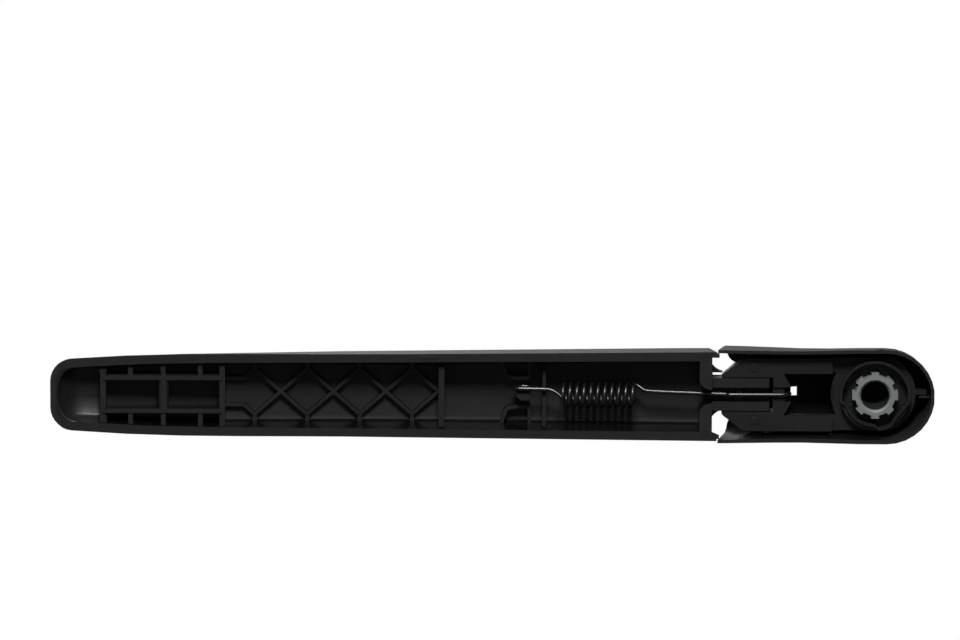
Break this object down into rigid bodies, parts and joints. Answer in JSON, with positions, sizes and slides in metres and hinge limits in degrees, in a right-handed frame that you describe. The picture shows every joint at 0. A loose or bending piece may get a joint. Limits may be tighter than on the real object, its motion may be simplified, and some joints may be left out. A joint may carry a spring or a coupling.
{
  "type": "rear wiper arm",
  "caption": "Moulded rear wiper arm with a ribbed open underside, a folding head with splined metal bush, a pull spring and a hinged head cover.",
  "frame": {"origin": "on the spindle axis, at the glass-side end of the bush's round pilot bore", "axes": "+Z away from the glass along the spindle, the arm runs along -X from the spindle, Y across the arm"},
  "size_m": [0.3318, 0.036, 0.0224],
  "materials": {
    "arm_plastic": "fine-grained black moulding",
    "frame_plastic": "glass-filled black moulding",
    "bush_metal": "die-cast, satin",
    "cover_plastic": "fine-grained black moulding",
    "pin_steel": "blackened steel",
    "spring_steel": "black coated spring wire"
  },
  "bodies": {
    "head": {"head_frame": "frame_plastic", "spindle_bush": "bush_metal", "hinge_pin": "pin_steel"},
    "arm": {"arm_shell": "arm_plastic", "tension_spring": "spring_steel"},
    "cover": {"head_cover": "cover_plastic"}
  },
  "joints": [
    {"name": "arm_fold", "type": "hinge", "parent": "head", "child": "arm", "pos_m": [-0.051, 0, 0.0045], "axis": [0, 1, 0], "range_deg": [0, 55], "stiffness_Nm_per_rad": 0.1, "springref_deg": -57.3, "deforming": ["tension_spring"]},
    {"name": "cover_flip", "type": "hinge", "parent": "head", "child": "cover", "pos_m": [-0.0444, 0, 0.0052], "axis": [0, -1, 0], "range_deg": [0, 38]}
  ]
}
